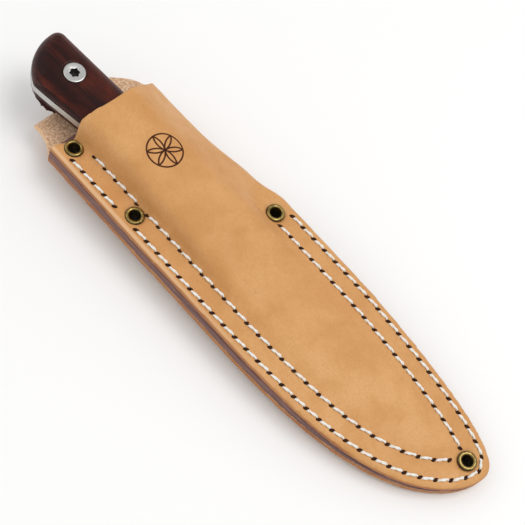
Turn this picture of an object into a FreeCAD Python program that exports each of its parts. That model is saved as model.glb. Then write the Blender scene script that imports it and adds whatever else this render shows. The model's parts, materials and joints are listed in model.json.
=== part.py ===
"""Full-tang belt knife carried in its sewn leather pouch sheath.

Lengths are millimetres. The sheath lies on its back. Each piece is first made
in the sheath's own frame: +X from the mouth to the tip, +Y towards the folded
edge, +Z out of the front, z = 0 on the outside of the back panel. The knife has
a frame of its own, with z = 0 in the middle of the blade's thickness. At the
end every piece is laid down as it rests on a table, on the belt loop and on the
tip eyelet, with the origin under the middle of the whole object.
"""
import FreeCAD, Part
import math
import os
from collections import namedtuple

from FreeCAD import Placement, Rotation, Vector

# Whole object
TIP_X = 108.0
BUTT_X = -108.0
HALF_WIDTH = 27.0
REST_TILT = 2.4
KNIFE_PITCH = 3.0

# Leather
LEATHER = 2.6
WELT_AT_MOUTH = 4.8
WELT_AT_TIP = 1.0
WELT_TAPER_X = 38.0
MOUTH_X = -75.4
MOUTH_DIP = 4.0
FOLD_INSET = 4.8
FOLD_FULL_X = -52.0
FOLD_END_X = -14.0
TIP_Y = 11.0
SIDE_START_X = -20.0
WELT_END_X = -14.0
FAR = 40.0

# Belt strap, which carries on from the back panel
STRAP_MID_Y = -4.0
STRAP_TOP_HALF = 17.9
STRAP_RUN_HALF = 12.4
STRAP_FOLD_X = -89.5
STRAP_FOLD_INNER = 0.8
STRAP_DROP_ANGLE = 50.0
STRAP_RUN_END_X = -46.0
STRAP_SEWN_X = -32.0
STRAP_END_X = -13.0

# Eyelets: name, x, y
EYELETS = (
    ("mouth", -69.8, -20.6),
    ("belly", -37.1, -20.9),
    ("fold", -7.9, 20.0),
    ("tip", 99.9, 9.8),
)
EYELET_HOLE_R = 2.0
EYELET_BARREL_R = 2.5
EYELET_FLANGE_R = 3.5
EYELET_FLANGE_T = 0.7
EYELET_ROLL_R = 3.2
EYELET_ROLL_T = 0.4
WASHER_R = 3.8
WASHER_T = 0.5

# Sewing
OUTER_ROW_INSET = 2.9
INNER_ROW_INSET = 9.7
STITCH_PITCH = 5.6
STITCH_GAP = 1.7
THREAD_W = 1.1
THREAD_H = 0.6
STITCH_SHARES = [0.1 * step for step in range(1, 10)]
RIDGE_CLEARANCE = 1.6
BELLY_ROW_START_X = -66.5
INNER_ROW_START_X = -62.5
SPINE_ROW_START_X = -4.4
INNER_ROW_TIP_X = 95.7

# Knife
TANG_T = 3.2
SCALE_T = 7.0
HANDLE_THIN_X = -45.0
HANDLE_FRONT_X = -8.0
HANDLE_FRONT_HALF = 6.2
HANDLE_NOSE_HALF = 4.4
HANDLE_EDGE_R = 3.8
SPINE_Y = 5.9
EDGE_Y = -12.2
POINT_X = 89.5
POINT_Y = 3.4
BELLY_START_X = 10.0
BEVEL_TOP_Y = -3.5
TAPER_START_X = 25.0
POINT_HALF_T = 0.5
EDGE_HALF_T = 0.15
KNIFE_TIP_Z = 4.2

# Handle bolts: x, y
BOLTS = ((-89.1, -6.2), (-54.0, -3.2), (-21.0, -3.2))
BOLT_HEAD_R = 4.0
BOLT_HEAD_T = 1.4
BARREL_R = 3.0
SCREW_R = 2.0
BARREL_TOP_Z = 5.0
SCREW_END_Z = -3.0
SOCKET_R = 1.45
SOCKET_DEPTH = 2.4
HANDLE_HALF = TANG_T / 2 + SCALE_T

# A cross-section of the pouch: ceiling and walls of the pocket at one x.
# left and right are the pocket's walls, flat_left and flat_right the ends of
# its flat ceiling, and right_height the ceiling's height at the right wall.
Section = namedtuple("Section", "x left flat_left flat_right right ceiling right_height folded")
CROWN_GAP = 0.55
FLANK_LEAN = 0.02
SHOULDER_BEND = 0.29
SHOULDER_SHARE = 0.85
DROP_SHARE = 0.78
DROP_WIDTH = 4.5


def flange_height(x):
    """Height of the underside of the front panel where it lies on the welt."""
    full = LEATHER + WELT_AT_MOUTH
    slope = (WELT_AT_MOUTH - WELT_AT_TIP) / (TIP_X - WELT_TAPER_X)
    return full - slope * max(0.0, x - WELT_TAPER_X)


def table_height(x):
    """Height of the table under the sheath, in the sheath's frame."""
    contact_x = EYELETS[3][1] + EYELET_ROLL_R
    contact_z = -WASHER_T - EYELET_ROLL_T
    return contact_z - (contact_x - x) * math.tan(math.radians(REST_TILT))


def rounded_side(start, end, bluntness, fullness, count=14):
    """Points of a quarter superellipse from a straight side to a rounded end."""
    points = []
    for i in range(count + 1):
        angle = math.pi / 2 * (1.0 - i / count)
        along = max(0.0, math.cos(angle)) ** (2.0 / bluntness)
        across = max(0.0, math.sin(angle)) ** (2.0 / fullness)
        x = start[0] + (end[0] - start[0]) * along
        y = end[1] + (start[1] - end[1]) * across
        points.append((x, y))
    return points


def belly_side():
    """The sheath's sewn belly edge, from the mouth to the tip."""
    return rounded_side((SIDE_START_X, -HALF_WIDTH), (TIP_X, TIP_Y), 4.0, 1.7)


def spine_side():
    """The sheath's upper edge, from where the fold ends to the tip."""
    return rounded_side((FOLD_END_X, HALF_WIDTH), (TIP_X, TIP_Y), 3.0, 2.6)


def fold_side():
    """The folded edge, drawn in beside the handle, from mouth to fold end."""
    near = HALF_WIDTH - FOLD_INSET
    points = [(-FAR - TIP_X, near), (FOLD_FULL_X, near)]
    for i in range(1, 6):
        t = i / 6.0
        x = FOLD_FULL_X + (FOLD_END_X - FOLD_FULL_X) * t
        y = near + FOLD_INSET * t * t * (3.0 - 2.0 * t)
        points.append((x, y))
    return points


def flat(points, z=0.0):
    """Vectors in a horizontal plane."""
    return [Vector(x, y, z) for x, y in points]


def curve(points):
    """A smooth edge through points in the plane z = 0."""
    spline = Part.BSplineCurve()
    spline.interpolate(flat(points))
    return spline.toShape()


def line(a, b):
    """A straight edge in the plane z = 0."""
    return Part.makeLine(Vector(a[0], a[1], 0), Vector(b[0], b[1], 0))


def arc(a, b, c):
    """An arc through three points in the plane z = 0."""
    return Part.Arc(*flat([a, b, c])).toShape()


def prism(edges, low, high):
    """A solid between two heights over a closed outline."""
    face = Part.Face(Part.Wire(edges))
    face.translate(Vector(0, 0, low))
    return face.extrude(Vector(0, 0, high - low))


def side_prism(points, half_width, mid_y=0.0):
    """A solid across Y over a closed polygon of x, z points."""
    corners = [Vector(x, mid_y - half_width, z) for x, z in points]
    wire = Part.makePolygon(corners + corners[:1])
    return Part.Face(wire).extrude(Vector(0, 2 * half_width, 0))


def cylinder(x, y, low, high, radius):
    """An upright cylinder between two heights."""
    return Part.makeCylinder(radius, high - low, Vector(x, y, low))


def offset_line(points, distance):
    """A polyline moved to its left by a distance, with mitred corners."""
    moved = []
    for i, point in enumerate(points):
        before = points[max(i - 1, 0)]
        after = points[min(i + 1, len(points) - 1)]
        into = unit(before, point) if i > 0 else unit(point, after)
        away = unit(point, after) if i < len(points) - 1 else into
        bend = 1.0 + into[0] * away[0] + into[1] * away[1]
        shift_x = -(into[1] + away[1]) / bend * distance
        shift_y = (into[0] + away[0]) / bend * distance
        moved.append((point[0] + shift_x, point[1] + shift_y))
    return moved


def unit(a, b):
    """Unit vector from a to b."""
    length = math.hypot(b[0] - a[0], b[1] - a[1])
    return ((b[0] - a[0]) / length, (b[1] - a[1]) / length)


# Sheath

def knife_axis_height(x):
    """Height of the knife's middle plane in the sheath's frame."""
    return KNIFE_TIP_Z + (POINT_X - x) * math.tan(math.radians(KNIFE_PITCH))


def pouch_sections():
    """Cross-sections of the pouch from beyond the mouth to beyond the tip."""
    flange = LEATHER + WELT_AT_MOUTH
    sections = []
    for x, left, right in (
        (-84.0, -15.8, 19.6),
        (-74.0, -15.0, 19.6),
        (-62.0, -13.4, 19.6),
        (-44.0, -13.2, 20.6),
    ):
        ceiling = knife_axis_height(x) + HANDLE_HALF + CROWN_GAP
        flat_left = left + HANDLE_EDGE_R - 0.1
        sections.append(Section(x, left, flat_left, 3.5, right, ceiling, 6.0, True))
    for x, flat_left, flat_right, right, ceiling, right_height, folded in (
        (-26.0, -9.2, 4.0, 23.2, 18.6, 6.2, True),
        (-14.0, -10.1, 5.5, 14.6, 17.2, flange, False),
        (-2.0, -10.5, 5.5, 14.6, 13.6, flange, False),
    ):
        section = Section(x, -13.2, flat_left, flat_right, right, ceiling, right_height, folded)
        sections.append(section)
    for x, left, flat_left, flat_right, right, dome in (
        (14.0, -13.4, -10.0, 5.0, 14.6, 3.2),
        (WELT_TAPER_X, -13.4, -9.0, 6.0, 14.6, 1.8),
        (60.0, -10.4, -6.0, 7.0, 12.8, 1.5),
        (75.0, -6.9, -3.0, 7.0, 11.4, 1.2),
        (88.0, -1.0, 1.5, 6.0, 8.5, 0.3),
        (93.0, 1.0, 2.5, 6.0, 7.5, 0.0),
        (112.0, 1.0, 2.5, 6.0, 7.5, 0.0),
    ):
        height = flange_height(x)
        section = Section(x, left, flat_left, flat_right, right, height + dome, height, False)
        sections.append(section)
    return sections


def ceiling_line(section):
    """The underside of the front panel across one section, left to right."""
    flange = flange_height(section.x)
    width = section.flat_left - section.left
    depth = min(width, SHOULDER_SHARE * (section.ceiling - flange))
    drop = section.ceiling - section.right_height
    drop_y = section.flat_right + min(DROP_WIDTH, 0.5 * (section.right - section.flat_right))
    return [
        (section.left, flange),
        (section.left + FLANK_LEAN * width, section.ceiling - depth),
        (section.left + SHOULDER_BEND * width, section.ceiling - SHOULDER_BEND * depth),
        (section.flat_left, section.ceiling),
        (section.flat_right, section.ceiling),
        (drop_y, section.right_height + DROP_SHARE * drop),
        (section.right, section.right_height),
    ]


def section_wire(x, points):
    """A closed wire in the plane of one x."""
    corners = [Vector(x, y, z) for y, z in points]
    return Part.makePolygon(corners + corners[:1])


def pocket_section(section):
    """The pocket's outline at one section."""
    points = [(section.left, LEATHER)] + ceiling_line(section)
    points.append((section.right, LEATHER))
    return section_wire(section.x, points)


def outer_section(section):
    """The outline of the leather's outside at one section."""
    flange = flange_height(section.x)
    under = [(-FAR, flange)] + ceiling_line(section)
    if section.folded:
        under += [(section.right, LEATHER), (section.right, 0.0)]
    else:
        under += [(FAR, section.right_height), (FAR, 0.0)]
    points = [(-FAR, 0.0)] + offset_line(under, LEATHER)
    return section_wire(section.x, points)


def sheath_outline():
    """Edges of the sheath's outline, open beyond the mouth."""
    far_left = (-FAR - TIP_X, -HALF_WIDTH)
    belly = belly_side()
    spine = spine_side()
    fold = fold_side()
    return [
        line(far_left, belly[0]),
        curve(belly),
        curve(spine[::-1]),
        curve([spine[0]] + fold[:0:-1]),
        line(fold[1], fold[0]),
        line(fold[0], far_left),
    ]


def pocket_outline():
    """Edges of the pocket's outline, which the welt's inner edge follows."""
    end = (94.0, 6.0)
    belly = rounded_side((SIDE_START_X, -13.4), end, 3.6, 1.8)
    spine = rounded_side((WELT_END_X, 14.6), end, 3.0, 2.4)
    far_left = (-FAR - TIP_X, -19.0)
    far_right = (-FAR - TIP_X, FAR)
    return [
        line(far_left, (-74.0, -15.2)),
        line((-74.0, -15.2), (-62.0, -13.6)),
        line((-62.0, -13.6), belly[0]),
        curve(belly),
        curve(spine[::-1]),
        line(spine[0], (spine[0][0], FAR)),
        line((spine[0][0], FAR), far_right),
        line(far_right, far_left),
    ]


def mouth_cutter():
    """All that lies beyond the front panel's mouth, above the back panel."""
    left = (MOUTH_X, -FAR)
    right = (MOUTH_X, FAR)
    edges = [
        line((-150.0, -FAR), left),
        line(left, (MOUTH_X, -HALF_WIDTH + 1.0)),
        arc((MOUTH_X, -HALF_WIDTH + 1.0), (MOUTH_X + MOUTH_DIP, -3.0), (MOUTH_X, 21.0)),
        line((MOUTH_X, 21.0), right),
        line(right, (-150.0, FAR)),
        line((-150.0, FAR), (-150.0, -FAR)),
    ]
    return prism(edges, LEATHER, FAR)


def welt():
    """The dyed strip between the panels: belly edge, tip and upper edge."""
    top = [(x, flange_height(x)) for x in (MOUTH_X, WELT_TAPER_X, TIP_X + 4.0)]
    slab = side_prism([(MOUTH_X, LEATHER)] + top + [(TIP_X + 4.0, LEATHER)], FAR)
    strip = slab.common(prism(sheath_outline(), 0.0, FAR))
    strip = strip.cut(prism(pocket_outline(), -1.0, FAR))
    return drill_eyelets(strip)


def drill_eyelets(leather):
    """Cut the four eyelet holes through a piece of leather."""
    for _, x, y in EYELETS:
        leather = leather.cut(cylinder(x, y, -5.0, FAR, EYELET_BARREL_R))
    return leather


def ribbon(points, thickness):
    """A closed polygon of constant thickness along a line of x, z points."""
    left = offset_line(points, thickness / 2)
    right = offset_line(points, -thickness / 2)
    return left + right[::-1]


def strap_line():
    """The belt strap's middle line: out of the back panel, round and back."""
    mid = LEATHER / 2
    radius = STRAP_FOLD_INNER + mid
    centre_x = STRAP_FOLD_X + radius + mid
    centre_z = mid - radius
    points = [(MOUTH_X + 2.0, mid)]
    turn = 180 - STRAP_DROP_ANGLE
    for i in range(9):
        angle = math.radians(90 + turn * i / 8)
        points.append((centre_x + radius * math.cos(angle), centre_z + radius * math.sin(angle)))
    slope = math.tan(math.radians(STRAP_DROP_ANGLE))
    last_x, last_z = points[-1]
    run_z = table_height(last_x) + mid
    down_x = last_x + (last_z - run_z) / slope
    points.append((down_x, table_height(down_x) + mid))
    points.append((STRAP_RUN_END_X, table_height(STRAP_RUN_END_X) + mid))
    points.append((STRAP_SEWN_X, -mid))
    points.append((STRAP_END_X, -mid))
    return points


def strap_run():
    """The part of the belt strap that hangs behind the back panel."""
    shape = side_prism(ribbon(strap_line(), LEATHER), FAR)
    half = STRAP_RUN_HALF
    top = STRAP_TOP_HALF
    tapered = [
        (STRAP_FOLD_X - 1.0, top - 0.6),
        (STRAP_FOLD_X + 7.0, half + 0.8),
        (STRAP_FOLD_X + 12.0, half),
        (STRAP_END_X - 4.0, half),
        (STRAP_END_X, half - 4.0),
    ]
    corners = [(x, STRAP_MID_Y + y) for x, y in tapered]
    corners += [(x, STRAP_MID_Y - y) for x, y in tapered[::-1]]
    edges = [line(a, b) for a, b in zip(corners, corners[1:] + corners[:1])]
    return shape.common(prism(edges, -20.0, -0.2 * LEATHER))


def strap_top():
    """The back panel's tongue above the mouth, with its curved shoulders."""
    shape = side_prism(ribbon(strap_line(), LEATHER), FAR)
    low = STRAP_MID_Y - STRAP_TOP_HALF
    high = STRAP_MID_Y + STRAP_TOP_HALF
    fold_edge = HALF_WIDTH - FOLD_INSET
    start = MOUTH_X + 3.0
    outline = [
        line((start, -HALF_WIDTH), (MOUTH_X, -HALF_WIDTH)),
        arc((MOUTH_X, -HALF_WIDTH), (MOUTH_X - 4.0, low - 2.2), (MOUTH_X - 9.0, low - 0.6)),
        line((MOUTH_X - 9.0, low - 0.6), (STRAP_FOLD_X - 2.0, low)),
        line((STRAP_FOLD_X - 2.0, low), (STRAP_FOLD_X - 2.0, high)),
        line((STRAP_FOLD_X - 2.0, high), (MOUTH_X - 12.0, high + 0.4)),
        arc((MOUTH_X - 12.0, high + 0.4), (MOUTH_X - 7.5, high + 5.2), (MOUTH_X, fold_edge)),
        line((MOUTH_X, fold_edge), (start, fold_edge)),
        line((start, fold_edge), (start, -HALF_WIDTH)),
    ]
    return shape.common(prism(outline, -0.2 * LEATHER, LEATHER + 1.0))


def pocket():
    """The hollow that the knife goes into."""
    hollow = Part.makeLoft([pocket_section(s) for s in pouch_sections()], True, True)
    return hollow.common(prism(pocket_outline(), -1.0, FAR))


def pouch():
    """One piece of leather: front panel, fold, back panel and belt strap."""
    outer = Part.makeLoft([outer_section(s) for s in pouch_sections()], True, True)
    body = outer.common(prism(sheath_outline(), -1.0, FAR))
    body = body.cut(pocket())
    body = body.cut(welt())
    body = body.cut(mouth_cutter())
    body = body.cut(Part.makeBox(100.0, 3 * FAR, 3 * FAR, Vector(MOUTH_X - 100.0, -FAR, -FAR)))
    body = body.fuse(strap_top())
    body = body.fuse(strap_run())
    body = drill_eyelets(body)
    return max(body.removeSplitter().Solids, key=lambda solid: solid.Volume)


# Eyelets

def eyelet(x, y):
    """A brass eyelet: flange on the front, barrel, rolled end at the back."""
    top = flange_height(x - EYELET_FLANGE_R) + LEATHER
    bottom = -WASHER_T
    body = cylinder(x, y, bottom - EYELET_ROLL_T, top + EYELET_FLANGE_T, EYELET_BARREL_R)
    body = body.fuse(cylinder(x, y, top, top + EYELET_FLANGE_T, EYELET_FLANGE_R))
    body = body.fuse(cylinder(x, y, bottom - EYELET_ROLL_T, bottom, EYELET_ROLL_R))
    return body.cut(cylinder(x, y, bottom - FAR, top + FAR, EYELET_HOLE_R))


def washers():
    """The four washers that the eyelets are rolled over, behind the sheath."""
    rings = []
    for _, x, y in EYELETS:
        ring = cylinder(x, y, -WASHER_T, 0.0, WASHER_R)
        rings.append(ring.cut(cylinder(x, y, -FAR, FAR, EYELET_BARREL_R)))
    return Part.makeCompound(rings)


# Sewing

def edge_path():
    """Dense points along the outline: belly edge, tip, upper edge."""
    belly = rounded_side((SIDE_START_X, -HALF_WIDTH), (TIP_X, TIP_Y), 4.0, 1.7, 60)
    spine = rounded_side((FOLD_END_X, HALF_WIDTH), (TIP_X, TIP_Y), 3.0, 2.6, 60)
    return [(MOUTH_X, -HALF_WIDTH)] + belly + spine[-2::-1]


def walk(path, pitch):
    """Points spaced evenly along a path, close to the pitch."""
    lengths = [math.hypot(b[0] - a[0], b[1] - a[1]) for a, b in zip(path, path[1:])]
    count = max(1, round(sum(lengths) / pitch))
    step = sum(lengths) / count
    points = [path[0]]
    target = step
    done = 0.0
    for a, b, length in zip(path, path[1:], lengths):
        while done + length >= target - 1e-9 and len(points) <= count:
            t = (target - done) / length
            points.append((a[0] + (b[0] - a[0]) * t, a[1] + (b[1] - a[1]) * t))
            target += step
        done += length
    return points


def outer_row():
    """Holes of the outer row, right round from mouth to fold end."""
    path = offset_line(edge_path(), OUTER_ROW_INSET)
    first = (BELLY_ROW_START_X, -HALF_WIDTH + OUTER_ROW_INSET)
    kept = [p for p in path[1:] if p[1] < TIP_Y or p[0] > SPINE_ROW_START_X]
    return walk([first] + kept, STITCH_PITCH)


def inner_belly_row():
    """Holes of the inner row along the belly edge, up to the tip eyelet."""
    path = offset_line(edge_path(), INNER_ROW_INSET)
    first = (INNER_ROW_START_X, -HALF_WIDTH + INNER_ROW_INSET)
    half = len(path) // 2
    kept = [p for p in path[1:half] if p[0] < INNER_ROW_TIP_X and p[1] < 6.0]
    return walk([first] + kept, STITCH_PITCH)


def inner_spine_row():
    """Holes of the inner row along the upper edge, from the tip eyelet."""
    path = offset_line(edge_path(), INNER_ROW_INSET - 0.4)
    half = len(path) // 2
    kept = [p for p in path[half:] if SPINE_ROW_START_X < p[0] < INNER_ROW_TIP_X and p[1] > 9.5]
    return walk(kept, STITCH_PITCH)


def front_height(x):
    """Height of the front panel's outside along the sewn margin."""
    return flange_height(x) + LEATHER


def back_height(x):
    """Height of the back panel's outside."""
    return 0.0


def strap_height(x):
    """Height of the belt strap's outside where it is sewn on."""
    return -LEATHER


def stitch(a, b, height, outwards):
    """One stitch between two holes, lying on the leather whose height is given.

    outwards is +1 where the leather faces up and -1 where it faces down.
    """
    middle = 0.5 * (a[0] + b[0])
    rise = [
        height(a[0] + share * (b[0] - a[0])) - height(a[0]) - share * (height(b[0]) - height(a[0]))
        for share in STITCH_SHARES
    ]
    ridge = max(0.0, *rise) * RIDGE_CLEARANCE
    start = Vector(a[0], a[1], height(a[0]) + ridge)
    end = Vector(b[0], b[1], height(b[0]) + ridge)
    along = end.sub(start)
    gap = Vector(along).normalize().multiply(STITCH_GAP / 2)
    low = 0.0 if outwards > 0 else -THREAD_H
    length = along.Length - STITCH_GAP
    bar = Part.makeBox(length, THREAD_W, THREAD_H, Vector(0, -THREAD_W / 2, low))
    upward = Vector(height(middle - 0.5) - height(middle + 0.5), 0, 1)
    side = upward.cross(along)
    bar.Placement = Placement(start.add(gap), Rotation(along, side, upward, "XZY"))
    return bar


def near_eyelet(a, b):
    """Whether the stitch between two holes runs under an eyelet or washer."""
    reach = WASHER_R + THREAD_W / 2
    for _, x, y in EYELETS:
        for share in (0.15, 0.5, 0.85):
            along = a[0] + (b[0] - a[0]) * share
            across = a[1] + (b[1] - a[1]) * share
            if math.hypot(along - x, across - y) < reach:
                return True
    return False


def sewn_row(holes):
    """The thread that shows along a row, on the front and on the back."""
    bars = []
    for a, b in zip(holes, holes[1:]):
        if near_eyelet(a, b):
            continue
        bars.append(stitch(a, b, front_height, +1))
        bars.append(stitch(a, b, back_height, -1))
    return Part.makeCompound(bars)


def belt_thread():
    """The sewing that holds the end of the belt strap, on its outside."""
    left = STRAP_SEWN_X + 2.5
    right = STRAP_END_X - 2.5
    half = STRAP_RUN_HALF - 3.0
    corners = [(left, -half), (right, -half + 2.5), (right, half - 2.5), (left, half)]
    corners = [(x, STRAP_MID_Y + y) for x, y in corners]
    bars = []
    for start, end in zip(corners, corners[1:] + corners[:1]):
        holes = walk([start, end], STITCH_PITCH)
        for a, b in zip(holes, holes[1:]):
            bars.append(stitch(a, b, strap_height, -1))
    return Part.makeCompound(bars)


# Knife, in its own frame

def handle_outline():
    """Edges of the handle seen from the side of the blade."""
    nose = (HANDLE_FRONT_X, EDGE_Y + 0.6)
    spine = [(HANDLE_FRONT_X, SPINE_Y), (-72.0, SPINE_Y), (-103.4, SPINE_Y - 2.7)]
    belly = [(-95.6, -18.2), (-84.0, -16.4), (-74.0, -14.5), (-60.0, -12.7)]
    belly += [(-40.0, -12.3), (-22.0, -12.5), nose]
    return [
        line(spine[0], spine[1]),
        line(spine[1], spine[2]),
        arc(spine[2], (-106.9, 2.0), (BUTT_X, -1.5)),
        arc((BUTT_X, -1.5), (-105.0, -10.6), belly[0]),
        curve(belly),
        arc(nose, (HANDLE_FRONT_X + 2.4, -3.0), spine[0]),
    ]


def blade_outline():
    """Edges of the blade, from under the handle's front to the point."""
    root_x = HANDLE_FRONT_X - 6.0
    belly = rounded_side((BELLY_START_X, EDGE_Y), (POINT_X, POINT_Y), 2.6, 1.35)
    return [
        line((root_x, SPINE_Y - 0.4), (root_x, EDGE_Y)),
        line((root_x, EDGE_Y), belly[0]),
        curve(belly),
        arc((POINT_X, POINT_Y), (74.0, SPINE_Y - 0.9), (55.0, SPINE_Y - 0.4)),
        line((55.0, SPINE_Y - 0.4), (root_x, SPINE_Y - 0.4)),
    ]


def blade():
    """Blade and full tang, one piece of steel."""
    half = TANG_T / 2
    cutting = prism(blade_outline(), -half, half)
    wedge_points = [(SPINE_Y, half), (BEVEL_TOP_Y, half), (EDGE_Y, EDGE_HALF_T)]
    wedge_points += [(y, -z) for y, z in wedge_points[::-1]]
    corners = [Vector(HANDLE_FRONT_X - 8.0, y, z) for y, z in wedge_points]
    wedge = Part.Face(Part.makePolygon(corners + corners[:1])).extrude(Vector(130.0, 0, 0))
    taper = [(HANDLE_FRONT_X - 8.0, half), (TAPER_START_X, half), (POINT_X + 1.0, POINT_HALF_T)]
    taper += [(x, -z) for x, z in taper[::-1]]
    cutting = cutting.common(wedge).common(side_prism(taper, FAR))
    steel = prism(handle_outline(), -half, half).fuse(cutting)
    for x, y in BOLTS:
        steel = steel.cut(cylinder(x, y, -half, half, BARREL_R))
    return steel.removeSplitter()


def scale(side):
    """One wooden handle scale; side is +1 for the front, -1 for the back."""
    half = TANG_T / 2
    slab = prism(handle_outline(), half, HANDLE_HALF)
    rim = [e for e in slab.Edges if abs(e.BoundBox.ZMin - HANDLE_HALF) < 1e-6]
    slab = slab.makeFillet(HANDLE_EDGE_R, rim)
    profile = [
        (BUTT_X - 1.0, half),
        (BUTT_X - 1.0, HANDLE_HALF),
        (HANDLE_THIN_X, HANDLE_HALF),
        (HANDLE_FRONT_X - 4.0, HANDLE_FRONT_HALF),
        (HANDLE_FRONT_X + 3.0, HANDLE_NOSE_HALF),
        (HANDLE_FRONT_X + 3.0, half),
    ]
    slab = slab.common(side_prism(profile, FAR))
    for x, y in BOLTS:
        slab = slab.cut(cylinder(x, y, 0.0, FAR, BARREL_R))
        slab = slab.cut(cylinder(x, y, scale_top(x) - BOLT_HEAD_T, FAR, BOLT_HEAD_R))
    if side < 0:
        slab.rotate(Vector(0, 0, 0), Vector(1, 0, 0), 180)
        slab = mirrored_y(slab)
    return slab


def mirrored_y(shape):
    """A shape mirrored across the plane y = 0."""
    return shape.mirror(Vector(0, 0, 0), Vector(0, 1, 0))


def scale_top(x):
    """Height of a scale's flat face above the knife's middle plane."""
    front = HANDLE_FRONT_X - 4.0
    share = min(1.0, max(0.0, (x - HANDLE_THIN_X) / (front - HANDLE_THIN_X)))
    return HANDLE_HALF + (HANDLE_FRONT_HALF - HANDLE_HALF) * share


def screw(x, y):
    """A flanged handle screw with a hexagon socket, seen on the front."""
    top = scale_top(x)
    body = cylinder(x, y, SCREW_END_Z, top, SCREW_R)
    body = body.fuse(cylinder(x, y, top - BOLT_HEAD_T, top, BOLT_HEAD_R))
    corners = []
    for i in range(6):
        angle = math.radians(60 * i)
        corners.append((x + SOCKET_R * math.cos(angle), y + SOCKET_R * math.sin(angle)))
    edges = [line(a, b) for a, b in zip(corners, corners[1:] + corners[:1])]
    return body.cut(prism(edges, top - SOCKET_DEPTH, top + 1.0))


def barrel_nut(x, y):
    """The flanged barrel nut that a handle screw is driven into."""
    bottom = -scale_top(x)
    body = cylinder(x, y, bottom, BARREL_TOP_Z - 2.0, BARREL_R)
    body = body.fuse(cylinder(x, y, bottom, bottom + BOLT_HEAD_T, BOLT_HEAD_R))
    return body.cut(cylinder(x, y, SCREW_END_Z, FAR, SCREW_R))


def in_sheath(shape):
    """Put a knife piece into the sheath, pitched with its handle raised."""
    pivot = Vector(POINT_X, 0, 0)
    shape.rotate(pivot, Vector(0, 1, 0), KNIFE_PITCH)
    shape.translate(Vector(0, 0, KNIFE_TIP_Z))
    return shape


def knife_pieces():
    """Every piece of the knife, in the sheath's frame."""
    pieces = {
        "blade_and_tang": blade(),
        "front_scale": scale(+1),
        "back_scale": scale(-1),
        "handle_screws": Part.makeCompound([screw(x, y) for x, y in BOLTS]),
        "handle_barrel_nuts": Part.makeCompound([barrel_nut(x, y) for x, y in BOLTS]),
    }
    return {name: in_sheath(shape) for name, shape in pieces.items()}


def sheath_pieces():
    """Every piece of the sheath."""
    pieces = {
        "folded_leather_body": pouch(),
        "welt": welt(),
        "outer_row_thread": sewn_row(outer_row()),
        "inner_belly_row_thread": sewn_row(inner_belly_row()),
        "inner_upper_row_thread": sewn_row(inner_spine_row()),
        "belt_loop_thread": belt_thread(),
        "eyelet_washers": washers(),
    }
    for name, x, y in EYELETS:
        pieces[name + "_eyelet"] = eyelet(x, y)
    return pieces


def lay_down(pieces):
    """Tilt everything onto the table and centre it over the origin."""
    for shape in pieces.values():
        shape.rotate(Vector(0, 0, 0), Vector(0, 1, 0), REST_TILT)
    box = Part.makeCompound(list(pieces.values())).optimalBoundingBox()
    shift = Vector(-box.Center.x, -box.Center.y, -box.ZMin)
    for shape in pieces.values():
        shape.translate(shift)
    return shift


def main():
    """Build, check and write every piece."""
    os.makedirs("parts", exist_ok=True)
    pieces = sheath_pieces()
    pieces.update(knife_pieces())
    shift = lay_down(pieces)
    print("the sheath frame's origin is at", shift.x, shift.y, shift.z)
    for name, shape in pieces.items():
        solids = len(shape.Solids)
        print(name, "solids", solids, "valid", shape.isValid(), "volume", round(shape.Volume, 1))
        shape.exportStep("parts/" + name + ".step")


main()
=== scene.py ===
"""Looks of the full-tang belt knife and its sewn leather pouch sheath.

Meshes are worked out in millimetres in the sheath's own frame: +X from the
mouth to the tip, +Y towards the folded edge, +Z out of the sheath's front, and
z = 0 on the outside of the back panel. Each one is put into the part's frame,
in metres, when its object is made.
"""

import json
import logging
import math
from dataclasses import dataclass, field
from enum import Enum
from typing import Sequence

import bmesh
import bpy
import numpy as np
from mathutils import Matrix, Vector
from mathutils.bvhtree import BVHTree
from mathutils.kdtree import KDTree


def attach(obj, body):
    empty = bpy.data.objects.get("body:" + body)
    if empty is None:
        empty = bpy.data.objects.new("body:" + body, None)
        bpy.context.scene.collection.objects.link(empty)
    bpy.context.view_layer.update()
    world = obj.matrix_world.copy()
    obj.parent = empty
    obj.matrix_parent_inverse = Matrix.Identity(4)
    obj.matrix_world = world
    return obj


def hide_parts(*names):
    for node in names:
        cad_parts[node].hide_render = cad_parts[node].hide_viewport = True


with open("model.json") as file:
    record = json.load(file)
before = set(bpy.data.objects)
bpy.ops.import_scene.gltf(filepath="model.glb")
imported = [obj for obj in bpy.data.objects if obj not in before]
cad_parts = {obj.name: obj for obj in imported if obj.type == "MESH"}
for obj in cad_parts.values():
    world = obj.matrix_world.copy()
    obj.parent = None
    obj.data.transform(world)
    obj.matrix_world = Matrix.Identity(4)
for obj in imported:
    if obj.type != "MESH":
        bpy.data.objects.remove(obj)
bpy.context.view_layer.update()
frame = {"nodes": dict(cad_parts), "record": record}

LOG = logging.getLogger("sheath_knife")
MM = 0.001

Point = tuple[float, float]
Colour = tuple[float, float, float]
Mesh = tuple[np.ndarray, list[Sequence[int]]]


class Body(Enum):
    """The bodies that a piece can move with."""

    SHEATH = "sheath"
    KNIFE = "knife"


class Slot(Enum):
    """The record's material slots."""

    LEATHER = "tan_leather"
    WELT = "dyed_welt"
    THREAD = "waxed_thread"
    BRASS = "aged_brass"
    STEEL = "satin_steel"
    WOOD = "dark_wood"
    SCREW = "screw_steel"


# Frames


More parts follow.
